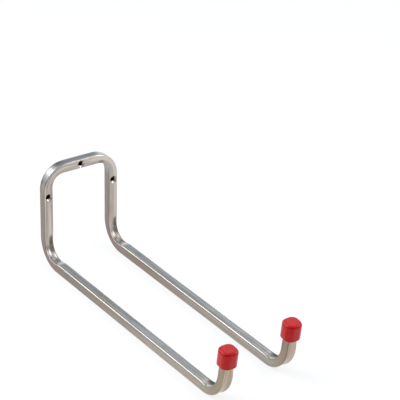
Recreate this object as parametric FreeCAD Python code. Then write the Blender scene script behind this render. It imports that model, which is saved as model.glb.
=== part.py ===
import FreeCAD, Part
import math
import os

# A wall hook for a garage: one square steel tube bent into an upright loop, two long arms and
# two upturned tips, with a soft cap pushed over each open end.
# X runs along the wall, +Y into the wall and +Z up. The wall's surface is Y = 0, and the origin
# lies on it, halfway between the two side screw holes.

# Sizes in millimetres, angles in degrees.

# The tube
tube_side = 12.0
tube_wall = 1.2
tube_corner_radius = 2.2

# The centrelines: the loop against the wall, the arms and the tips
leg_spacing = 88.0
loop_height = 113.0
arm_reach = 352.0
left_arm_extra = 8.5
tip_height = 63.5
tip_lean = 7.5

# The bends' centreline radii
top_bend_radius = 24.5
rear_bend_radius = 29.0
front_bend_radius = 34.0

# The form that bending leaves in the section at the middle of each bend: how far the inner
# corners are pushed outwards, how deep the groove between them is, how far the outer wall sinks
# between its corners, and how far the inner and outer corners are spread sideways
top_corner_push = 1.6
top_groove = 0.8
top_outer_sink = 0.5
top_inner_spread = -0.2
top_outer_spread = 0.0
rear_corner_push = 3.4
rear_groove = 2.8
rear_outer_sink = 0.7
rear_inner_spread = -0.5
rear_outer_spread = 0.1
front_corner_push = 0.6
front_groove = 2.6
front_outer_sink = 1.6
front_inner_spread = 1.2
front_outer_spread = 0.5

# How far before and after a bend its form reaches, and the share of that whole length over
# which the form comes on
top_press_lead = 1.0
rear_press_lead = 8.0
front_press_lead = 6.0
press_run = 0.5

# The screw holes: one at the middle of the loop's top and one in each leg
screw_hole_diameter = 5.4
screw_head_diameter = 9.0
dimple_lip_radius = 0.7
side_hole_drop = 32.0

# The caps
cap_side = 20.0
cap_corner_radius = 8.0
cap_height = 20.0
cap_top_thickness = 2.0
cap_top_round = 2.4
cap_rim_chamfer = 0.5
cap_clearance = 0.1

# What follows from them
covered_length = cap_height - cap_top_thickness
front_turn = 90 - tip_lean
X_AXIS = FreeCAD.Vector(1, 0, 0)
Y_AXIS = FreeCAD.Vector(0, 1, 0)
Z_AXIS = FreeCAD.Vector(0, 0, 1)


class Station:
    """A place on a centreline: its point, its running direction and its inward side."""

    def __init__(self, point, forward, inward):
        self.point = point
        self.forward = forward
        self.inward = inward

    def ahead(self, length):
        return Station(self.point + self.forward * length, self.forward, self.inward)

    def facing(self, inward):
        return Station(self.point, self.forward, inward)

    def round_bend(self, radius, degrees):
        """The station this many degrees round a bend towards the inward side."""
        turn = FreeCAD.Rotation(self.forward.cross(self.inward), degrees)
        centre = self.point + self.inward * radius
        return Station(
            centre + turn.multVec(self.point - centre),
            turn.multVec(self.forward),
            turn.multVec(self.inward),
        )

    def place(self, a, b):
        """The point that lies a towards the inward side and b across it."""
        return self.point + self.inward * a + self.forward.cross(self.inward) * b

    def placement(self):
        """Puts a shape's X along the inward side and its Z along the running direction."""
        across = self.forward.cross(self.inward)
        return FreeCAD.Placement(self.point, FreeCAD.Rotation(self.inward, across, self.forward))


class Press:
    """The form that a bending tool leaves in the tube's section."""

    def __init__(self, lead, corner_push, groove, outer_sink, inner_spread, outer_spread):
        self.lead = lead
        self.corner_push = corner_push
        self.groove = groove
        self.outer_sink = outer_sink
        self.inner_spread = inner_spread
        self.outer_spread = outer_spread

    def shift(self, up, across):
        """How far the full form moves a point that is given as shares of half the section."""
        inner = (1 + up) / 2
        outer = (1 - up) / 2
        bow = 1 - across * across
        push = inner * (self.corner_push + self.groove * bow) - outer * self.outer_sink * bow
        spread = inner * self.inner_spread + outer * self.outer_spread
        return -push, spread * across


top_press = Press(
    top_press_lead,
    top_corner_push,
    top_groove,
    top_outer_sink,
    top_inner_spread,
    top_outer_spread,
)
rear_press = Press(
    rear_press_lead,
    rear_corner_push,
    rear_groove,
    rear_outer_sink,
    rear_inner_spread,
    rear_outer_spread,
)
front_press = Press(
    front_press_lead,
    front_corner_push,
    front_groove,
    front_outer_sink,
    front_inner_spread,
    front_outer_spread,
)


def curve_edge(poles):
    curve = Part.BezierCurve()
    curve.setPoles(poles)
    return curve.toShape()


class Section:
    """A square outline across the tube, with round or sharp corners: its skin or its bore."""

    def __init__(self, side, corner_radius):
        self.half = side / 2
        self.corner_radius = corner_radius

    def wire(self, station, press=None, depth=0):
        """The outline at a station, pressed to a share of a form."""
        flat = self.half - self.corner_radius
        wall = [(self.half, -flat), (self.half, 0), (self.half, flat)]
        corner = [(self.half, flat), (self.half, self.half), (flat, self.half)]
        edges = []
        for _ in range(4):
            start, middle, end = [self.pressed(station, a, b, press, depth) for a, b in wall]
            if depth:
                edges.append(curve_edge([start, middle * 2 - (start + end) * 0.5, end]))
            else:
                edges.append(Part.LineSegment(start, end).toShape())
            if self.corner_radius:
                start, tip, end = [self.pressed(station, a, b, press, depth) for a, b in corner]
                middle = (start + tip * 2 + end) * 0.25
                edges.append(curve_edge([start, (start + tip) * 0.5, middle]))
                edges.append(curve_edge([middle, (tip + end) * 0.5, end]))
            wall = [(-b, a) for a, b in wall]
            corner = [(-b, a) for a, b in corner]
        return Part.Wire(edges)

    def pressed(self, station, a, b, press, depth):
        if depth:
            shift_a, shift_b = press.shift(a / self.half, b / self.half)
            a += depth * shift_a
            b += depth * shift_b
        return station.place(a, b)

    def prism(self, station, length):
        return Part.Face(self.wire(station)).extrude(station.forward * length)


skin = Section(tube_side, tube_corner_radius)
bore = Section(tube_side - 2 * tube_wall, 0)


def eased(share):
    """A share from 0 to 1 that starts and stops gently."""
    level = max(0.0, min(share, 1.0))
    return level * level * (3 - 2 * level)


# How many stations a lead has
lead_steps = 2


def pressed_run(section, press, stations):
    """A run of the section through (station, depth) pairs."""
    wires = [section.wire(station, press, depth) for station, depth in stations]
    return Part.makeLoft(wires, True, False)


def bend(section, press, start, radius, degrees, steps=10):
    """A bend and its two leads, over which its form comes on and fades."""
    arc = radius * math.radians(degrees)
    come_on = press_run * (arc + 2 * press.lead)
    before, after = [], []
    end = start.round_bend(radius, degrees)
    for step in range(lead_steps):
        reached = press.lead * step / lead_steps
        before.append((start.ahead(reached - press.lead), eased(reached / come_on)))
        after.insert(0, (end.ahead(press.lead - reached), eased(reached / come_on)))
    round_it = []
    for step in range(steps + 1):
        share = step / steps
        reached = press.lead + arc * min(share, 1 - share)
        round_it.append((start.round_bend(radius, degrees * share), eased(reached / come_on)))
    return pressed_run(section, press, before + round_it + after)


def tip_bend(section, press, start, radius, degrees, fade_length, steps=8):
    """A bend and its lead, whose form lasts to the end and fades along the straight beyond."""
    arc = radius * math.radians(degrees)
    come_on = press_run * (press.lead + arc)
    stations = []
    for step in range(lead_steps):
        reached = press.lead * step / lead_steps
        stations.append((start.ahead(reached - press.lead), eased(reached / come_on)))
    for step in range(steps + 1):
        share = step / steps
        depth = eased((press.lead + arc * share) / come_on)
        stations.append((start.round_bend(radius, degrees * share), depth))
    end = stations[-1][0]
    for step in range(1, steps // 2 + 1):
        share = step / (steps // 2)
        stations.append((end.ahead(fade_length * share), eased(1 - share)))
    return pressed_run(section, press, stations)


def corner_length(radius, degrees):
    """From a bend's end to the corner where its two centrelines meet."""
    return radius * math.tan(math.radians(degrees) / 2)


def half_tube(section, side, reach):
    """The runs from the middle of the loop's top to an open end, and the station there."""
    rear_corner = corner_length(rear_bend_radius, 90)
    front_corner = corner_length(front_bend_radius, front_turn)
    bar_length = leg_spacing / 2 - top_bend_radius
    leg_length = loop_height - top_bend_radius - rear_corner
    arm_length = reach - rear_corner - front_corner
    fade_length = tip_height - front_corner - covered_length

    place = Station(FreeCAD.Vector(0, -tube_side / 2, side_hole_drop), X_AXIS * side, -Z_AXIS)
    runs = [section.prism(place, bar_length - top_press_lead)]
    place = place.ahead(bar_length)
    runs.append(bend(section, top_press, place, top_bend_radius, 90))
    place = place.round_bend(top_bend_radius, 90)
    runs.append(section.prism(
        place.ahead(top_press_lead), leg_length - top_press_lead - rear_press_lead
    ))
    place = place.ahead(leg_length).facing(-Y_AXIS)
    runs.append(bend(section, rear_press, place, rear_bend_radius, 90))
    place = place.round_bend(rear_bend_radius, 90)
    runs.append(section.prism(
        place.ahead(rear_press_lead), arm_length - rear_press_lead - front_press_lead
    ))
    place = place.ahead(arm_length).facing(Z_AXIS)
    runs.append(tip_bend(section, front_press, place, front_bend_radius, front_turn, fade_length))
    place = place.round_bend(front_bend_radius, front_turn).ahead(fade_length)
    runs.append(section.prism(place, covered_length))
    return runs, place.ahead(covered_length)


def turned(profile, x, z):
    """A solid turned about a line along Y, from a closed profile of (radius, y) edges."""
    solid = Part.Face(Part.Wire(profile)).revolve(FreeCAD.Vector(0, 0, 0), Y_AXIS, 360)
    solid.translate(FreeCAD.Vector(x, 0, z))
    return solid


def outline(points):
    """Straight edges through (radius, y) points."""
    vectors = [FreeCAD.Vector(radius, y, 0) for radius, y in points]
    return [Part.LineSegment(a, b).toShape() for a, b in zip(vectors, vectors[1:])]


# A screw hole's profile: a cone pressed into the front wall, with a rounded lip
front_y = -tube_side
hole_radius = screw_hole_diameter / 2
head_radius = screw_head_diameter / 2
dimple_floor = front_y + head_radius - hole_radius


def hole_cut(x, z):
    """What a screw hole takes away, from in front of the tube to behind it."""
    lip = dimple_lip_radius
    rim = head_radius + lip * math.tan(math.radians(22.5))
    lip_points = []
    for turn in (0, 22.5, 45):
        angle = math.radians(turn)
        lip_y = front_y + lip * (1 - math.cos(angle))
        lip_points.append(FreeCAD.Vector(rim - lip * math.sin(angle), lip_y, 0))
    cone_start = (lip_points[2].x, lip_points[2].y)
    before = front_y - tube_wall
    behind = tube_wall
    profile = outline([(0, before), (rim, before), (rim, front_y)])
    profile.append(Part.Arc(*lip_points).toShape())
    profile += outline([
        cone_start,
        (hole_radius, dimple_floor),
        (hole_radius, behind),
        (0, behind),
        (0, before),
    ])
    return turned(profile, x, z)


def dimple(x, z):
    """The metal pressed in round a screw hole, before the hole is cut."""
    skew_wall = tube_wall * math.sqrt(2)
    top = front_y + tube_wall / 2
    profile = outline([
        (0, top),
        (head_radius + skew_wall - tube_wall / 2, top),
        (hole_radius + skew_wall, dimple_floor),
        (0, dimple_floor),
        (0, top),
    ])
    return turned(profile, x, z)


def hook_frame():
    """The bent tube with its three screw holes, and the stations at its two open ends."""
    solids = []
    for section in (skin, bore):
        left_runs, left_end = half_tube(section, -1, arm_reach + left_arm_extra)
        right_runs, right_end = half_tube(section, 1, arm_reach)
        runs = left_runs + right_runs
        solids.append(runs[0].multiFuse(runs[1:]))
    tube = solids[0].cut(solids[1])
    for x, z in ((0, side_hole_drop), (-leg_spacing / 2, 0), (leg_spacing / 2, 0)):
        tube = tube.fuse(dimple(x, z)).cut(hole_cut(x, z))
    return tube, [left_end, right_end]


def rounded_block(side, corner_radius, height):
    """A square block on end, with round upright edges."""
    block = Part.makeBox(side, side, height, FreeCAD.Vector(-side / 2, -side / 2, 0))
    upright = [edge for edge in block.Edges if edge.Vertexes[0].Z != edge.Vertexes[1].Z]
    return block.makeFillet(corner_radius, upright)


def edges_at(shape, height):
    return [edge for edge in shape.Edges if all(vertex.Z == height for vertex in edge.Vertexes)]


def end_cap(tube_end):
    """A soft cap over the tube's open end, with its inner floor against the end."""
    body = rounded_block(cap_side, cap_corner_radius, cap_height)
    body = body.makeFillet(cap_top_round, edges_at(body, cap_height))
    body = body.makeChamfer(cap_rim_chamfer, edges_at(body, 0))
    cavity_side = tube_side + 2 * cap_clearance
    cap = body.cut(rounded_block(cavity_side, 0.9 * tube_corner_radius, covered_length))
    cap.Placement = tube_end.ahead(-covered_length).placement()
    return cap


os.makedirs("parts", exist_ok=True)
frame, tube_ends = hook_frame()
caps = [end_cap(tube_end) for tube_end in tube_ends]
for name, solid in zip(("hook_frame", "end_cap_left", "end_cap_right"), [frame] + caps):
    solid.exportStep("parts/" + name + ".step")
    print(name, "valid", solid.isValid(), "solids", len(solid.Solids), "volume", round(solid.Volume, 1))
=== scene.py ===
import math

import bmesh
import bpy
from bpy.props import FloatProperty, FloatVectorProperty, PointerProperty
from mathutils import Matrix, Vector
from mathutils.kdtree import KDTree


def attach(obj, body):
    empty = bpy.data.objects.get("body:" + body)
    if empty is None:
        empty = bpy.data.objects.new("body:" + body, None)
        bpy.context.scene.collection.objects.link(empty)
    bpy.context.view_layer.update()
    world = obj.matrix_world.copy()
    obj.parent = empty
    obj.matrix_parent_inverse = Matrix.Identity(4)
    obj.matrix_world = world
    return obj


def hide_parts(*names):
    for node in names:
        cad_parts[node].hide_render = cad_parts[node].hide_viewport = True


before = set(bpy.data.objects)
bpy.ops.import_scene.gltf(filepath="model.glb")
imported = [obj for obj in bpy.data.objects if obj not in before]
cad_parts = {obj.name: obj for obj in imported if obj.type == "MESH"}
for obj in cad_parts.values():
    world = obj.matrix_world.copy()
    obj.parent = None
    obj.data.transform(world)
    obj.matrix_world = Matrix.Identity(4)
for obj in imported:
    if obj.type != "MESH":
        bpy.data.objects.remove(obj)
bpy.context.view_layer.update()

# The hook hangs on a wall. X runs along the wall, +Y into it and +Z up. The wall's face is Y = 0,
# and the origin lies on it, halfway between the two side screw holes. Lengths are in metres.

bl_info = {
    "name": "Square Tube Wall Hook",
    "version": (1, 0, 0),
    "blender": (4, 5, 0),
    "location": "View3D > Sidebar > Wall Hook",
    "description": "Builds a wall hook bent from square steel tube, with soft caps on its tips",
    "category": "Object",
}

MM = 0.001
X_AXIS = Vector((1, 0, 0))
Y_AXIS = Vector((0, 1, 0))
Z_AXIS = Vector((0, 0, 1))

# Vertices nearer to each other than this are one
TOUCHING = 0.01 * MM

# The tube's mesh: the rings round each bend, along a bend's lead and along the form that fades
# out on a tip, and the section's own divisions
TOP_STEPS = 18
REAR_STEPS = 24
FRONT_STEPS = 22
LEAD_STEPS = 5
FADE_STEPS = 6
WALL_CUTS = 7
CORNER_SEGMENTS = 5

# The steps round a screw hole, and those across its dimple's rounded lip
TURN_STEPS = 48
LIP_STEPS = 4

# The share of a bend and its leads over which its pressed form comes on
PRESS_RUN = 0.5

# Where the plating's casts, the painted shade on the side walls and the painted dark line on the right tip's
# corners change over, along the straight stock from the middle of the loop's top
BAR_ENDS = (20 * MM, 30 * MM)
LEG_BEGINS = (50 * MM, 62 * MM)
ARM_SHADE_FADES = (180 * MM, 400 * MM)
TIP_BEGINS = (455 * MM, 500 * MM)
CORNER_LINE_BEGINS = (474 * MM, 492 * MM)
NONE_TO_ALL = (0.0, 1.0)

# The floor reaches this far each way. This share of its look is plain white; the rest is paint,
# which takes the shadow.
FLOOR_REACH = 20
FLOOR_WHITE = 0.8

# The dim light of the room
ROOM_TINT = "#F2F6FC"
ROOM_BRIGHTNESS = 0.25

# The studio's lamps: name, direction from the hook's middle, distance, size, brightness, tint and
# the axis that the second size runs along
STUDIO_TINT = "#F4F8FF"
LAMPS = (
    # They light the fronts and right sides, with a strip for the lines on the front corners
    ("softbox_right", (0.60, -0.38, 0.70), 1.6, (1.2, 1.5), 1.4, STUDIO_TINT, Y_AXIS),
    ("strip_right", (0.72, -0.32, 0.62), 1.5, (0.3, 1.0), 5.0, STUDIO_TINT, Y_AXIS),
    # They give the bright line along the arms' top left corners and the top left bend
    ("softbox_left", (-0.60, 0.45, 0.62), 1.6, (1.5, 2.4), 1.3, STUDIO_TINT, Y_AXIS),
    ("strip_left", (-0.52, 0.50, 0.68), 1.5, (0.45, 1.8), 4.0, STUDIO_TINT, Y_AXIS),
    # From above, for the caps and the bends' grooves
    ("softbox_over", (-0.22, -0.05, 0.97), 1.6, (1.2, 2.2), 0.9, STUDIO_TINT, Y_AXIS),
    ("softbox_top", (0.44, 0.42, 0.79), 1.8, (1.0, 0.7), 1.2, STUDIO_TINT, Y_AXIS),
    # Dim and bluish, as it is what the arms' tops show
    ("softbox_back", (0.511, 0.730, 0.454), 2.0, (1.6, 1.0), 0.42, "#BEE0FF", Z_AXIS),
    # Low ones, for the hollows of the rear bends
    ("softbox_side", (0.84, -0.25, 0.30), 1.8, (0.6, 2.8), 1.3, STUDIO_TINT, Y_AXIS),
    ("softbox_low", (0.511, 0.859, 0.10), 2.4, (1.6, 0.5), 2.0, STUDIO_TINT, Z_AXIS),
)


def linear(hex_colour):
    """An sRGB hex colour as linear red, green, blue and a full alpha."""
    channels = [int(hex_colour[i : i + 2], 16) / 255 for i in (1, 3, 5)]
    curve = [c / 12.92 if c <= 0.04045 else ((c + 0.055) / 1.055) ** 2.4 for c in channels]
    return (*curve, 1.0)


def length(name, default_mm, description):
    """A size property that the sidebar shows in the scene's units of length."""
    default = default_mm * MM
    return FloatProperty(name=name, description=description, default=default, unit="LENGTH", precision=4)


def angle(name, degrees, description):
    """An angle property, which the sidebar shows in degrees."""
    return FloatProperty(name=name, description=description, default=math.radians(degrees), subtype="ANGLE")


def colour(name, hex_colour, description):
    """A colour property, from an sRGB hex value."""
    return FloatVectorProperty(
        name=name, description=description, default=linear(hex_colour), subtype="COLOR", size=4, min=0, max=1
    )


class HookTubeSizes(bpy.types.PropertyGroup):
    side: length("Tube side", 12.0, "Outer side of the square tube")
    wall: length("Tube wall", 1.2, "Thickness of the tube's wall")
    corner_radius: length("Corner radius", 2.2, "Outer radius of the tube's four corners")
    leg_spacing: length("Leg spacing", 88.0, "Between the centrelines of the two legs")
    loop_height: length("Loop height", 113.0, "From the arms' centreline up to the top's")
    side_hole_drop: length("Side hole drop", 32.0, "From the top hole down to the two side holes")
    arm_reach: length(
        "Arm reach", 352.0, "From the legs' centreline to where the right arm's line meets its tip's"
    )
    left_arm_extra: length("Left arm extra", 8.5, "How much further the left arm reaches")
    tip_height: length("Tip height", 63.5, "Along a tip, from the arm's centreline to the open end")
    tip_lean: angle("Tip lean", 7.5, "How far the tips lean outwards")
    top_radius: length("Top bend radius", 24.5, "Centreline radius of the two bends at the loop's top")
    rear_radius: length("Rear bend radius", 29.0, "Centreline radius of the bends from legs to arms")
    front_radius: length("Front bend radius", 34.0, "Centreline radius of the bends from arms to tips")
    hole: length("Screw hole", 5.4, "Diameter of the screw holes")
    head: length("Dimple", 9.0, "Diameter of the dimple for a screw's head")
    lip: length("Dimple lip", 0.7, "Radius of the dimple's rounded lip")


class HookCapSizes(bpy.types.PropertyGroup):
    side: length("Cap side", 20.0, "Outer side of a cap")
    corner_radius: length("Corner radius", 8.0, "Radius of a cap's upright corners")
    height: length("Cap height", 20.0, "From a cap's rim to its top")
    top_thickness: length("Top thickness", 2.0, "Thickness of a cap's closed top")
    top_round: length("Top round", 3.4, "Radius round a cap's top edge")
    rim_round: length("Rim round", 0.5, "Radius round a cap's rim")
    clearance: length("Clearance", 0.1, "Gap between the tube and a cap's bore")


class HookFinish(bpy.types.PropertyGroup):
    zinc: colour("Zinc", "#D0C8BE", "Bright zinc plating on the tube's face and back")
    # Painted shade: the loop's side walls, painted darker and browner than its face
    zinc_side_painted_shade: colour("Zinc, loop's sides", "#857468", "The plating on the side walls of the loop")
    # Painted shade: the arms' side walls, painted darker than their face
    zinc_arm_side_painted_shade: colour("Zinc, arms' sides", "#A9A196", "The plating on the side walls of the arms")
    # Painted shade: the loop's top and underside, painted darker than its face
    zinc_bar_painted_shade: colour("Zinc, bar", "#B6AFA6", "The plating on the loop's top and underside")
    # Painted shade: the top bends' side walls, painted a darker bluish grey
    zinc_bend_painted_shade: colour("Zinc, top bends", "#A0A4A8", "The bluish plating on the top bends' stretched walls")
    # Painted shade: the half of those walls next to the wall, painted darker still
    bend_shade: colour("Top bends' shade", "#5C6064", "The same walls' dull half next to the wall")
    tip_tint: colour("Tip tint", "#EDDECD", "What the plating's yellower cast on the tips takes away")
    # Painted reflection: a dark line along the right tip's corners
    corner_painted_reflection: colour("Corner stain", "#6E5A48", "Passivation that dried along a tip's corner")
    zinc_cloud: colour("Zinc clouds", "#9C9384", "Clouds in the passivated zinc")
    zinc_line: colour("Drawing lines", "#8E8780", "Darker lines left by drawing the tube")
    # Painted reflection: a dark patch on one side of each bend's pressed wall where its form comes on
    groove_painted_reflection: colour("Stain", "#57503F", "Where the bending tool pressed the wall in")
    vinyl: colour("Vinyl", "#B4060E", "Soft red vinyl")
    vinyl_gloss: colour("Vinyl gloss", "#FFA8A2", "Its gloss, reddened by the pigment at its skin")
    floor: colour("Floor", "#F4F4F4", "The studio floor")


class HookCamera(bpy.types.PropertyGroup):
    azimuth: angle("Azimuth", 34.892, "The camera's turn to the left")
    elevation: angle("Elevation", 27.352, "The camera's tilt down")
    roll: angle("Roll", 1.231, "The camera's roll")
    distance: length("Distance", 2317.4, "From the camera to the middle between the rear bends")
    lens: FloatProperty(name="Lens", description="Focal length in millimetres", default=175.03, min=1)
    centre_x: FloatProperty(
        name="Centre X",
        description="Where that middle shows, as a share of the picture's width from its centre",
        default=-0.3012375,
    )
    centre_y: FloatProperty(name="Centre Y", description="The same, upwards", default=-0.11781)


class HookProperties(bpy.types.PropertyGroup):
    tube: PointerProperty(type=HookTubeSizes)
    cap: PointerProperty(type=HookCapSizes)
    finish: PointerProperty(type=HookFinish)
    camera: PointerProperty(type=HookCamera)


def both_sides(sizes):
    """Each side's way along X and its arm's reach, the left one's first."""
    return (-1, sizes.arm_reach + sizes.left_arm_extra), (1, sizes.arm_reach)


class Press:
    """The form that bending leaves in the tube's section, at the middle of a bend."""

    def __init__(self, lead, corner_push, groove, outer_sink, inner_spread, outer_spread):
        self.lead = lead * MM
        self.corner_push = corner_push * MM
        self.groove = groove * MM
        self.outer_sink = outer_sink * MM
        self.inner_spread = inner_spread * MM
        self.outer_spread = outer_spread * MM

    def shift(self, up, across):
        """How far the full form moves a point, given as shares of half the section."""
        inner = (1 + up) / 2
        outer = (1 - up) / 2
        bow = 1 - across * across
        push = inner * (self.corner_push + self.groove * bow) - outer * self.outer_sink * bow
        spread = inner * self.inner_spread + outer * self.outer_spread
        return -push, spread * across


TOP_PRESS = Press(
    lead=1.0, corner_push=1.6, groove=0.8, outer_sink=0.5, inner_spread=-0.2, outer_spread=0.0
)
REAR_PRESS = Press(
    lead=8.0, corner_push=3.4, groove=2.8, outer_sink=0.7, inner_spread=-0.5, outer_spread=0.1
)
FRONT_PRESS = Press(
    lead=6.0, corner_push=0.6, groove=2.6, outer_sink=1.6, inner_spread=1.2, outer_spread=0.5
)


def eased(share):
    """A share from 0 to 1 that sets off and arrives gently."""
    level = max(0.0, min(share, 1.0))
    return level * level * (3 - 2 * level)


class Station:
    """A place on the tube's centreline: its point, its running direction and its inward side.

    The scribe is a side of the tube that is followed through every bend, as a line scribed along
    the stock before bending would be.
    """

    def __init__(self, point, forward, inward, scribe, travelled=0.0, share=0.0):
        self.point = point
        self.forward = forward
        self.inward = inward
        self.scribe = scribe
        self.travelled = travelled
        self.share = share

    def ahead(self, distance):
        point = self.point + self.forward * distance
        travelled = self.travelled + distance
        return Station(point, self.forward, self.inward, self.scribe, travelled, self.share)

    def facing(self, inward):
        return Station(self.point, self.forward, inward, self.scribe, self.travelled)

    def round_bend(self, radius, bend_angle, share=1.0):
        """The station at a share of a bend by this angle."""
        swung = bend_angle * share
        centre = self.point + self.inward * radius
        turn = Matrix.Rotation(swung, 3, self.forward.cross(self.inward))
        return Station(
            centre + turn @ (self.point - centre),
            turn @ self.forward,
            turn @ self.inward,
            turn @ self.scribe,
            self.travelled + radius * swung,
            share,
        )

    def placement(self, up):
        """Local X towards a side that is up, Y across and Z along the run."""
        across = self.forward.cross(up)
        turned = Matrix((up, across, self.forward)).transposed()
        return Matrix.Translation(self.point) @ turned.to_4x4()

    def stock_place(self, point, side):
        """Where a point lies on the straight stock: two ways across it, and along it."""
        local = self.placement(self.scribe).inverted() @ point
        return Vector((local.x, side * local.y, side * (local.z + self.travelled)))


class TubeRoute:
    """The stations of half a hook, from the middle of the loop's top to a tip's open end."""

    def __init__(self, sizes, side, reach, beyond=0.0):
        self.side = side
        self.half_width = sizes.side / 2
        self.stations = []
        self.presses = []
        turn = math.pi / 2 - sizes.tip_lean
        rear_corner = sizes.rear_radius
        front_corner = sizes.front_radius * math.tan(turn / 2)
        cap = bpy.context.scene.wall_hook.cap
        covered = cap.height - cap.top_thickness
        fade = sizes.tip_height - front_corner - covered
        top = Vector((0, -sizes.side / 2, sizes.side_hole_drop))
        place = Station(top, X_AXIS * side, -Z_AXIS, -Z_AXIS)
        self.add(place)
        self.straight(place, sizes.leg_spacing / 2 - sizes.top_radius - TOP_PRESS.lead)
        place = place.ahead(sizes.leg_spacing / 2 - sizes.top_radius)
        place = self.bend(place, sizes.top_radius, math.pi / 2, TOP_PRESS, TOP_STEPS)
        leg = sizes.loop_height - sizes.top_radius - rear_corner
        self.straight(place, leg - REAR_PRESS.lead)
        place = place.ahead(leg).facing(-Y_AXIS)
        place = self.bend(place, sizes.rear_radius, math.pi / 2, REAR_PRESS, REAR_STEPS)
        arm = reach - rear_corner - front_corner
        self.straight(place, arm - FRONT_PRESS.lead)
        place = place.ahead(arm).facing(Z_AXIS)
        place = self.tip_bend(place, sizes.front_radius, turn, fade, FRONT_PRESS)
        self.rim = place
        self.straight(place, covered + beyond)

    def add(self, station, press=None, depth=0.0):
        """Notes a station and how deep the form of its bend is there."""
        self.stations.append(station)
        self.presses.append((press, depth))
        return station

    def straight(self, start, distance):
        """A straight stretch, which needs a station only at its far end."""
        return self.add(start.ahead(distance))

    def lead_in(self, start, press, come_on):
        """The straight stretch before a bend over which its form comes on."""
        for step in range(1, LEAD_STEPS):
            reached = press.lead * step / LEAD_STEPS
            self.add(start.ahead(reached - press.lead), press, eased(reached / come_on))

    def bend(self, start, radius, bend_angle, press, steps):
        """A bend and its two leads, over which its form comes on and fades."""
        arc = radius * bend_angle
        come_on = PRESS_RUN * (arc + 2 * press.lead)
        self.lead_in(start, press, come_on)
        for step in range(steps + 1):
            share = step / steps
            reached = press.lead + arc * min(share, 1 - share)
            end = self.add(start.round_bend(radius, bend_angle, share), press, eased(reached / come_on))
        for step in range(1, LEAD_STEPS + 1):
            left = press.lead * (1 - step / LEAD_STEPS)
            self.add(end.ahead(press.lead - left), press, eased(left / come_on))
        return end

    def tip_bend(self, start, radius, bend_angle, fade, press):
        """A bend and its lead, whose form lasts to the end and fades along the straight beyond."""
        arc = radius * bend_angle
        come_on = PRESS_RUN * (press.lead + arc)
        self.lead_in(start, press, come_on)
        for step in range(FRONT_STEPS + 1):
            share = step / FRONT_STEPS
            depth = eased((press.lead + arc * share) / come_on)
            end = self.add(start.round_bend(radius, bend_angle, share), press, depth)
        for step in range(1, FADE_STEPS + 1):
            share = step / FADE_STEPS
            place = self.add(end.ahead(fade * share), press, eased(1 - share))
        return place


def section_ring(bm, side, corner_radius):
    """A flat ring of edges round a square with rounded corners, in the XY plane."""
    bmesh.ops.create_grid(bm, x_segments=1, y_segments=1, size=side / 2)
    if corner_radius:
        bmesh.ops.bevel(
            bm,
            geom=bm.verts[:],
            affect="VERTICES",
            offset=corner_radius,
            offset_type="OFFSET",
            segments=CORNER_SEGMENTS,
            profile=0.5,
            material=-1,
        )
    flat = side / 2 - corner_radius
    walls = [edge for edge in bm.edges if edge.calc_length() > flat]
    bmesh.ops.delete(bm, geom=bm.faces[:], context="FACES_ONLY")
    bmesh.ops.subdivide_edges(bm, edges=walls, cuts=WALL_CUTS)
    return bm.edges[:]


def sweep(bm, ring, route):
    """Extrudes a ring through a route's stations; returns every ring and the last one's edges."""
    start = route.stations[0]
    first = {vert for edge in ring for vert in edge.verts}
    rings = [(start, None, 0.0, first)]
    here = start.placement(start.scribe)
    bmesh.ops.transform(bm, matrix=here, verts=list(first))
    for station, (press, depth) in zip(route.stations[1:], route.presses[1:]):
        grown = bmesh.ops.extrude_edge_only(bm, edges=ring)["geom"]
        verts = [item for item in grown if isinstance(item, bmesh.types.BMVert)]
        ring = [item for item in grown if isinstance(item, bmesh.types.BMEdge)]
        there = station.placement(station.scribe)
        bmesh.ops.transform(bm, matrix=there @ here.inverted(), verts=verts)
        here = there
        rings.append((station, press, depth, set(verts)))
    return rings, ring


def half_skin(route, side, corner_radius):
    """One skin of half the tube, closed at its tip, with the bends' form pressed in."""
    bm = bmesh.new()
    # Where a vertex lay on the straight stock, and in a bend: how deep and how far towards the
    # inside, how far across, and at what share of the bend
    stock_place = bm.verts.layers.float_vector.new("stock_place")
    bend_mark = bm.verts.layers.float_vector.new("bend_mark")
    ring = section_ring(bm, side, corner_radius)
    rings, last = sweep(bm, ring, route)
    for station, press, depth, verts in rings:
        matrix = station.placement(station.inward)
        back = matrix.inverted()
        for vert in verts:
            vert[stock_place] = station.stock_place(vert.co, route.side)
            if not depth:
                continue
            local = back @ vert.co
            # Across, the bore goes by the skin's width, which keeps the wall's thickness
            up, across = local.x / (side / 2), local.y / route.half_width
            shift_up, shift_across = press.shift(up, across)
            vert.co = matrix @ Vector((local.x + depth * shift_up, local.y + depth * shift_across, local.z))
            vert[bend_mark] = (depth * max(up, 0), across, station.share)
    bmesh.ops.holes_fill(bm, edges=last, sides=0)
    mesh = bpy.data.meshes.new("half_skin")
    bm.to_mesh(mesh)
    bm.free()
    return mesh


def tube_skin(name, sizes, side, corner_radius, beyond=0.0):
    """A whole closed skin of the tube, from its two halves."""
    bm = bmesh.new()
    for way, reach in both_sides(sizes):
        mesh = half_skin(TubeRoute(sizes, way, reach, beyond), side, corner_radius)
        bm.from_mesh(mesh)
        bpy.data.meshes.remove(mesh)
    bmesh.ops.remove_doubles(bm, verts=bm.verts[:], dist=TOUCHING)
    # The seam between the halves would run through the top screw hole
    seam = [edge for edge in bm.edges if all(abs(vert.co.x) < TOUCHING for vert in edge.verts)]
    bmesh.ops.dissolve_edges(bm, edges=seam, use_verts=True)
    bmesh.ops.recalc_face_normals(bm, faces=bm.faces[:])
    return new_object(name, bm)


def new_object(name, bm):
    """Turns a bmesh into an object in the scene, and frees it."""
    mesh = bpy.data.meshes.new(name)
    bm.to_mesh(mesh)
    bm.free()
    obj = bpy.data.objects.new(name, mesh)
    bpy.context.scene.collection.objects.link(obj)
    return obj


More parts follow.
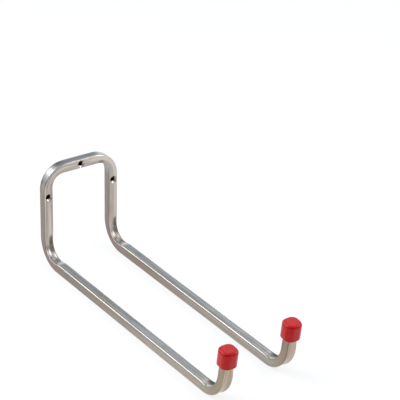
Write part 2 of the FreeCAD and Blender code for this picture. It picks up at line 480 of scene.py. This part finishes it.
def mark_new_vertices(tube, sizes):
    """Gives the vertices that the cuts made their place on the straight stock, too."""
    routes = [TubeRoute(sizes, side, reach) for side, reach in both_sides(sizes)]
    marks = [(station, route.side) for route in routes for station in route.stations]
    tree = KDTree(len(marks))
    for index, (station, _) in enumerate(marks):
        tree.insert(station.point, index)
    tree.balance()
    for vertex, value in zip(tube.data.vertices, tube.data.attributes["stock_place"].data):
        if value.vector.length_squared == 0:
            station, side = marks[tree.find(vertex.co)[1]]
            value.vector = station.stock_place(vertex.co, side)


def smooth_with_sharp_edges(obj, degrees):
    """Shades smooth but for edges sharper than this, with flat walls kept flat."""
    bm = bmesh.new()
    bm.from_mesh(obj.data)
    for face in bm.faces:
        face.smooth = True
    for edge in bm.edges:
        edge.smooth = edge.is_manifold and edge.calc_face_angle() < math.radians(degrees)
    bm.to_mesh(obj.data)
    bm.free()
    weighted = obj.modifiers.new("weighted_normals", "WEIGHTED_NORMAL")
    weighted.keep_sharp = True
    # The most there is: only the largest face at a vertex counts
    weighted.weight = 100


def turned(name, profile, x, z):
    """A solid turned about a line along Y, from (radius, y) points that start and end on it."""
    bm = bmesh.new()
    verts = [bm.verts.new((radius, y, 0)) for radius, y in profile]
    edges = [bm.edges.new(pair) for pair in zip(verts, verts[1:])]
    # Half a step aside, so that none of its corners lies on the seam between the tube's halves
    aside = Matrix.Rotation(math.tau / TURN_STEPS / 2, 3, Y_AXIS)
    bmesh.ops.rotate(bm, verts=verts, matrix=aside)
    bmesh.ops.spin(bm, geom=verts + edges, axis=Y_AXIS, angle=math.tau, steps=TURN_STEPS, use_merge=True)
    bmesh.ops.remove_doubles(bm, verts=bm.verts[:], dist=TOUCHING)
    bmesh.ops.recalc_face_normals(bm, faces=bm.faces[:])
    bmesh.ops.translate(bm, verts=bm.verts[:], vec=(x, 0, z))
    return new_object(name, bm)


def cut_away(obj, tool):
    """Cuts a solid out of obj and drops the tool."""
    modifier = obj.modifiers.new("cut", "BOOLEAN")
    modifier.operation = "DIFFERENCE"
    modifier.solver = "EXACT"
    modifier.object = tool
    evaluated = obj.evaluated_get(bpy.context.evaluated_depsgraph_get())
    made = bpy.data.meshes.new_from_object(evaluated)
    obj.modifiers.clear()
    old = obj.data
    obj.data = made
    made.name = obj.name
    bpy.data.meshes.remove(old)
    used = tool.data
    bpy.data.objects.remove(tool)
    bpy.data.meshes.remove(used)


def hole_profiles(sizes):
    """The (radius, y) outlines of a dimple's pressed metal and of what its hole takes away."""
    front = -sizes.side
    hole_radius = sizes.hole / 2
    head_radius = sizes.head / 2
    floor = front + head_radius - hole_radius
    # The thickness of the 45 degree cone's metal, measured along the front wall
    skew = sizes.wall * math.sqrt(2)
    top = front + sizes.wall / 2
    metal = [
        (0, top),
        (head_radius + skew - sizes.wall / 2, top),
        (hole_radius + skew, floor),
        (0, floor),
    ]
    # The lip's round sets off from the front wall at the rim and runs into the cone
    lip = sizes.lip
    rim = head_radius + lip * math.tan(math.pi / 8)
    before = front - sizes.wall
    cut = [(0, before), (rim, before)]
    for step in range(LIP_STEPS + 1):
        turn = math.radians(45 * step / LIP_STEPS)
        cut.append((rim - lip * math.sin(turn), front + lip * (1 - math.cos(turn))))
    cut += [(hole_radius, floor), (hole_radius, sizes.wall), (0, sizes.wall)]
    return metal, cut


def add_node(tree, kind, inputs=None, **settings):
    """Adds a node with its settings; each input gets a value or a link from a socket."""
    node = tree.nodes.new(kind)
    for name, value in settings.items():
        setattr(node, name, value)
    for key, value in (inputs or {}).items():
        if isinstance(value, bpy.types.NodeSocket):
            tree.links.new(value, node.inputs[key])
        else:
            node.inputs[key].default_value = value
    return node


def fresh_material(name):
    """A material with an empty node tree, and the tree."""
    material = bpy.data.materials.new(name)
    material.use_nodes = True
    material.node_tree.nodes.clear()
    return material, material.node_tree


def lay_over(tree, base, cover, *spans, blend="MIX"):
    """Lays one colour over another, by the product of the spans' shares.

    A span is a value, the two limits it is followed between and its shares at them.
    """
    shares = []
    for value, (start, end), (low, high) in spans:
        limits = {"Value": value, "From Min": start, "From Max": end, "To Min": low, "To Max": high}
        follow = add_node(tree, "ShaderNodeMapRange", limits, interpolation_type="SMOOTHSTEP")
        shares.append(follow.outputs[0])
    share, *others = shares
    for other in others:
        share = add_node(tree, "ShaderNodeMath", {0: share, 1: other}, operation="MULTIPLY").outputs[0]
    colours = {0: share, 6: base, 7: cover}
    return add_node(tree, "ShaderNodeMix", colours, data_type="RGBA", blend_type=blend).outputs[2]


def zinc_plated_steel(finish):
    """Drawn steel tube, bright zinc plated: satin metal with faint lengthwise drawing lines, painted shade on
    its side walls and painted dark reflections where the bends' form comes on and along the right tip's
    corners.
    """
    material, tree = fresh_material("zinc_plated_drawn_steel")
    place = add_node(tree, "ShaderNodeAttribute", attribute_name="stock_place").outputs["Vector"]
    bend = add_node(tree, "ShaderNodeAttribute", attribute_name="bend_mark").outputs["Vector"]

    # The size of each pattern's grain across the tube, twice, and along it, in millimetres
    patterns = {}
    for name, grain, detail in (
        # Drawing lines half a millimetre apart that fade in and out over some 60 mm
        ("lines", (0.5, 0.5, 60), 2.0),
        # Broader streaks from the drawing die, 2.5 mm wide, which last for most of a wall
        ("streaks", (2.5, 2.5, 150), 1.0),
        # Clouds in the zinc's passivation, about 8 mm across and drawn out along the tube
        ("clouds", (8, 8, 30), 3.0),
        # Rainbow tints of the thicker film on the tips, in patches of some 6 by 20 mm
        ("tints", (6, 6, 20), 2.0),
    ):
        scale = [1 / (size * MM) for size in grain]
        scaled = add_node(tree, "ShaderNodeMapping", {"Vector": place, "Scale": scale}).outputs[0]
        noise = {"Vector": scaled, "Scale": 1.0, "Detail": detail}
        patterns[name] = add_node(tree, "ShaderNodeTexNoise", noise).outputs
    lines = patterns["lines"]["Fac"]

    # How far a point lies out towards the tube's face or back, over to a side, and along the stock
    out, over, run = add_node(tree, "ShaderNodeSeparateXYZ", {0: place}).outputs
    far_out, far_over, along = (
        add_node(tree, "ShaderNodeMath", {0: part}, operation="ABSOLUTE").outputs[0]
        for part in (out, over, run)
    )
    lean = add_node(tree, "ShaderNodeMath", {0: far_out, 1: far_over}, operation="SUBTRACT").outputs[0]
    off_corner = add_node(tree, "ShaderNodeMath", {0: lean}, operation="ABSOLUTE").outputs[0]

    # Painted shade: the tube's two side walls are painted darker and browner than its face and back, on the
    # loop's top and underside, on the legs and, lighter further from the wall, on the arms
    # Painted shade: the top bends' side walls are painted bluish grey, and darker on their half next to the
    # wall
    bend_painted_shade = lay_over(tree, finish.zinc_bend_painted_shade, finish.bend_shade, (over, (-1 * MM, 4 * MM), (0.0, 0.8)))
    sides = lay_over(tree, finish.zinc_bar_painted_shade, bend_painted_shade, (along, BAR_ENDS, NONE_TO_ALL))
    sides = lay_over(tree, sides, finish.zinc_side_painted_shade, (along, LEG_BEGINS, NONE_TO_ALL))
    sides = lay_over(tree, sides, finish.zinc_arm_side_painted_shade, (along, ARM_SHADE_FADES, NONE_TO_ALL))
    plating = lay_over(tree, finish.zinc, sides, (lean, (-0.8 * MM, 0.8 * MM), (0.0, 0.9)))
    plating = lay_over(tree, plating, finish.tip_tint, (along, TIP_BEGINS, NONE_TO_ALL), blend="MULTIPLY")
    tints = patterns["tints"]["Color"]
    plating = lay_over(tree, plating, tints, (along, TIP_BEGINS, (0.14, 0.3)), blend="OVERLAY")

    clouds = (patterns["clouds"]["Fac"], (0.45, 0.7), (0.0, 0.35))
    plating = lay_over(tree, plating, finish.zinc_cloud, clouds)
    streaks = (patterns["streaks"]["Fac"], (0.42, 0.62), (0.0, 0.5))
    plating = lay_over(tree, plating, finish.zinc_line, streaks)
    plating = lay_over(tree, plating, finish.zinc_line, (lines, (0.4, 0.75), (0.0, 0.4)))

    # Where a bend's form comes on, a dark reflection is painted on one side of the pressed wall
    deep, across, share = add_node(tree, "ShaderNodeSeparateXYZ", {0: bend}).outputs
    begun = (deep, (0.02, 0.25), (0.0, 0.75))
    not_far = (share, (0.2, 0.42), (1.0, 0.0))
    one_side = (across, (-0.35, 0.25), (1.0, 0.0))
    plating = lay_over(tree, plating, finish.groove_painted_reflection, begun, not_far, one_side)

    # A dark reflection is painted as a line along the right tip's corners
    corner = (off_corner, (0.3 * MM, 1.5 * MM), (0.75, 0.0))
    plating = lay_over(tree, plating, finish.corner_painted_reflection, corner, (run, CORNER_LINE_BEGINS, NONE_TO_ALL))

    relief = {"Strength": 0.12, "Distance": 0.05 * MM, "Height": lines}
    bump = add_node(tree, "ShaderNodeBump", relief).outputs[0]
    limits = {"Value": lines, "From Min": 0.3, "From Max": 0.7, "To Min": 0.24, "To Max": 0.4}
    rough = add_node(tree, "ShaderNodeMapRange", limits, interpolation_type="SMOOTHSTEP").outputs[0]
    metal = {"Metallic": 1.0, "Base Color": plating, "Roughness": rough, "Normal": bump}
    shader = add_node(tree, "ShaderNodeBsdfPrincipled", metal).outputs["BSDF"]
    add_node(tree, "ShaderNodeOutputMaterial", {"Surface": shader})
    return material


def red_vinyl(finish):
    """Dip-moulded soft vinyl: satin red with a soft gloss and a fine, slightly uneven skin."""
    material, tree = fresh_material("dip_moulded_red_vinyl")
    place = add_node(tree, "ShaderNodeTexCoord").outputs["Object"]
    # The skin's unevenness is 0.8 mm across
    scale = [1 / (0.8 * MM)] * 3
    scaled = add_node(tree, "ShaderNodeMapping", {"Vector": place, "Scale": scale}).outputs[0]
    noise = {"Vector": scaled, "Scale": 1.0, "Detail": 2.0}
    skin = add_node(tree, "ShaderNodeTexNoise", noise).outputs["Fac"]
    relief = {"Strength": 0.1, "Distance": 0.1 * MM, "Height": skin}
    bump = add_node(tree, "ShaderNodeBump", relief).outputs[0]
    limits = {"Value": skin, "From Min": 0.3, "From Max": 0.7, "To Min": 0.16, "To Max": 0.24}
    rough = add_node(tree, "ShaderNodeMapRange", limits, interpolation_type="SMOOTHSTEP").outputs[0]
    vinyl = {
        "Base Color": finish.vinyl,
        "IOR": 1.53,
        "Specular Tint": finish.vinyl_gloss,
        "Roughness": rough,
        "Normal": bump,
    }
    shader = add_node(tree, "ShaderNodeBsdfPrincipled", vinyl).outputs["BSDF"]
    add_node(tree, "ShaderNodeOutputMaterial", {"Surface": shader})
    return material


class HOOK_OT_tube(bpy.types.Operator):
    """Builds the bent tube with its dimpled screw holes"""

    bl_idname = "hook.tube"
    bl_label = "Bent Tube"

    def execute(self, context):
        sizes = context.scene.wall_hook.tube
        tube = tube_skin("bent_tube", sizes, sizes.side, sizes.corner_radius)
        bore = tube_skin("bore", sizes, sizes.side - 2 * sizes.wall, 0, sizes.wall)
        metal, cut = hole_profiles(sizes)
        half = sizes.leg_spacing / 2
        places = ((0, sizes.side_hole_drop), (-half, 0), (half, 0))
        for x, z in places:
            cut_away(bore, turned("dimple", metal, x, z))
        cut_away(tube, bore)
        for x, z in places:
            cut_away(tube, turned("hole", cut, x, z))
        mark_new_vertices(tube, sizes)
        smooth_with_sharp_edges(tube, degrees=32)
        tube.data.materials.clear()
        tube.data.materials.append(zinc_plated_steel(context.scene.wall_hook.finish))
        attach(tube, "root")
        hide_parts("hook_frame")
        return {"FINISHED"}


def cap_mesh(cap, tube):
    """A cap upright on its rim, hollow from below."""
    bm = bmesh.new()
    bmesh.ops.create_cube(bm, size=1)
    bmesh.ops.scale(bm, verts=bm.verts[:], vec=(cap.side, cap.side, cap.height))
    bmesh.ops.translate(bm, verts=bm.verts[:], vec=(0, 0, cap.height / 2))
    upright = [e for e in bm.edges if abs(e.verts[0].co.z - e.verts[1].co.z) > cap.height / 2]
    bevel_edges(bm, upright, cap.corner_radius, segments=10)
    top = [e for e in bm.edges if min(v.co.z for v in e.verts) > cap.height - TOUCHING]
    bevel_edges(bm, top, cap.top_round, segments=6)
    underside = min(bm.faces, key=lambda face: face.calc_center_median().z)
    bevel_edges(bm, list(underside.edges), cap.rim_round, segments=3)
    # The flat that the rim's round leaves is the largest of the lowest faces
    rim_face = min(bm.faces, key=lambda face: (round(face.calc_center_median().z, 6), -face.calc_area()))
    bore_side = tube.side + 2 * cap.clearance
    wall = (cap.side - bore_side) / 2 - cap.rim_round
    bmesh.ops.inset_region(bm, faces=[rim_face], thickness=wall, use_even_offset=True)
    grown = bmesh.ops.extrude_discrete_faces(bm, faces=[rim_face])["faces"]
    verts = list({v for face in grown for v in face.verts})
    bmesh.ops.translate(bm, verts=verts, vec=(0, 0, cap.height - cap.top_thickness))
    return bm


def bevel_edges(bm, edges, offset, segments):
    """Rounds edges evenly."""
    bmesh.ops.bevel(
        bm,
        geom=edges,
        affect="EDGES",
        offset=offset,
        offset_type="OFFSET",
        segments=segments,
        profile=0.5,
        material=-1,
        clamp_overlap=True,
    )


class HOOK_OT_caps(bpy.types.Operator):
    """Builds the soft cap on each tip"""

    bl_idname = "hook.caps"
    bl_label = "End Caps"

    def execute(self, context):
        hook = context.scene.wall_hook
        tube = hook.tube
        vinyl = red_vinyl(hook.finish)
        for (side, reach), name in zip(both_sides(tube), ("left", "right")):
            bm = cap_mesh(hook.cap, tube)
            rim = TubeRoute(tube, side, reach).rim
            bmesh.ops.transform(bm, matrix=rim.placement(rim.inward), verts=bm.verts[:])
            bmesh.ops.recalc_face_normals(bm, faces=bm.faces[:])
            cap = new_object("cap_" + name, bm)
            cap.data.materials.append(vinyl)
            smooth_with_sharp_edges(cap, degrees=50)
            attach(cap, "root")
            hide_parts("end_cap_" + name)
        return {"FINISHED"}


def area_light(target, name, direction, distance, size, brightness, tint, along):
    """A softbox that faces the target; a brightness of 1 shows as white in a mirror.

    Its second size runs as nearly along the given direction as it can.
    """
    way = Vector(direction).normalized()
    width_way = along.cross(way).normalized()
    light = bpy.data.lights.new(name, "AREA")
    light.shape = "RECTANGLE"
    light.size, light.size_y = size
    light.energy = brightness * math.pi * size[0] * size[1]
    light.color = linear(tint)[:3]
    lamp = bpy.data.objects.new(name, light)
    facing = Matrix((width_way, way.cross(width_way), way)).transposed()
    lamp.matrix_world = Matrix.Translation(target + way * distance) @ facing.to_4x4()
    bpy.context.scene.collection.objects.link(lamp)


def studio_floor(finish, height):
    """A painted floor that shows as white to the eye and in the metal, but for the shadow."""
    bm = bmesh.new()
    bmesh.ops.create_grid(bm, x_segments=1, y_segments=1, size=FLOOR_REACH)
    bmesh.ops.translate(bm, verts=bm.verts[:], vec=(0, 0, height))
    floor = new_object("floor", bm)
    material, tree = fresh_material("studio_floor_paint")
    rays = add_node(tree, "ShaderNodeLightPath").outputs
    seen = rays["Is Camera Ray"]
    for name in ("Is Glossy Ray", "Is Transmission Ray"):
        seen = add_node(tree, "ShaderNodeMath", {0: seen, 1: rays[name]}, operation="MAXIMUM").outputs[0]
    share = add_node(tree, "ShaderNodeMath", {0: seen, 1: FLOOR_WHITE}, operation="MULTIPLY").outputs[0]
    paint = add_node(tree, "ShaderNodeBsdfDiffuse", {"Color": finish.floor}).outputs["BSDF"]
    white = add_node(tree, "ShaderNodeEmission", {"Color": (1, 1, 1, 1), "Strength": 1.0}).outputs["Emission"]
    mixed = add_node(tree, "ShaderNodeMixShader", {0: share, 1: paint, 2: white}).outputs[0]
    add_node(tree, "ShaderNodeOutputMaterial", {"Surface": mixed})
    floor.data.materials.append(material)


def studio_world(scene):
    """The dim light of the room around the stage."""
    scene.world = bpy.data.worlds.new("studio")
    scene.world.use_nodes = True
    tree = scene.world.node_tree
    tree.nodes.clear()
    room = {"Color": linear(ROOM_TINT), "Strength": ROOM_BRIGHTNESS}
    soft = add_node(tree, "ShaderNodeBackground", room)
    add_node(tree, "ShaderNodeOutputWorld", {"Surface": soft.outputs["Background"]})


def photo_camera(scene, view, target):
    """The camera from which the target shows at its place in the picture."""
    yaw, pitch, roll = view.azimuth, view.elevation, view.roll
    ahead = Vector((math.sin(yaw) * math.cos(pitch), math.cos(yaw) * math.cos(pitch), -math.sin(pitch)))
    level = Vector((math.cos(yaw), -math.sin(yaw), 0))
    up = level.cross(ahead)
    right = level * math.cos(roll) + up * math.sin(roll)
    top = up * math.cos(roll) - level * math.sin(roll)
    data = bpy.data.cameras.new("camera")
    data.lens = view.lens
    data.sensor_width = 36
    data.clip_start = 0.05
    data.clip_end = 100
    width = view.distance * data.sensor_width / data.lens
    place = target - ahead * view.distance - right * (view.centre_x * width) - top * (view.centre_y * width)
    camera = bpy.data.objects.new("camera", data)
    camera.matrix_world = Matrix.Translation(place) @ Matrix((right, top, -ahead)).transposed().to_4x4()
    scene.collection.objects.link(camera)
    scene.camera = camera


class HOOK_OT_stage(bpy.types.Operator):
    """Sets up the floor, the soft light and the camera"""

    bl_idname = "hook.stage"
    bl_label = "Stage"

    def execute(self, context):
        scene = context.scene
        hook = scene.wall_hook
        tube = hook.tube
        floor_z = -(tube.loop_height - tube.side_hole_drop + tube.side / 2)
        studio_floor(hook.finish, floor_z)
        studio_world(scene)
        middle = Vector((0, -tube.arm_reach / 2, floor_z / 2))
        for lamp in LAMPS:
            area_light(middle, *lamp)
        between_rear_bends = Vector((0, -tube.side / 2, floor_z + tube.side / 2))
        photo_camera(scene, hook.camera, between_rear_bends)
        scene.view_settings.view_transform = "Standard"
        return {"FINISHED"}


class HOOK_PT_panel(bpy.types.Panel):
    bl_label = "Wall Hook"
    bl_idname = "HOOK_PT_panel"
    bl_space_type = "VIEW_3D"
    bl_region_type = "UI"
    bl_category = "Wall Hook"

    def draw(self, context):
        layout = self.layout
        hook = context.scene.wall_hook
        for group in (hook.tube, hook.cap, hook.finish, hook.camera):
            box = layout.box()
            for name in group.bl_rna.properties.keys():
                if name not in ("rna_type", "name"):
                    box.prop(group, name)
        for operator in (HOOK_OT_tube, HOOK_OT_caps, HOOK_OT_stage):
            layout.operator(operator.bl_idname)


CLASSES = (
    HookTubeSizes,
    HookCapSizes,
    HookFinish,
    HookCamera,
    HookProperties,
    HOOK_OT_tube,
    HOOK_OT_caps,
    HOOK_OT_stage,
    HOOK_PT_panel,
)


def register():
    for cls in CLASSES:
        bpy.utils.register_class(cls)
    bpy.types.Scene.wall_hook = PointerProperty(type=HookProperties)


def unregister():
    del bpy.types.Scene.wall_hook
    for cls in reversed(CLASSES):
        bpy.utils.unregister_class(cls)


def main():
    register()
    bpy.ops.hook.tube()
    bpy.ops.hook.caps()
    bpy.ops.hook.stage()


if __name__ == "__main__":
    main()
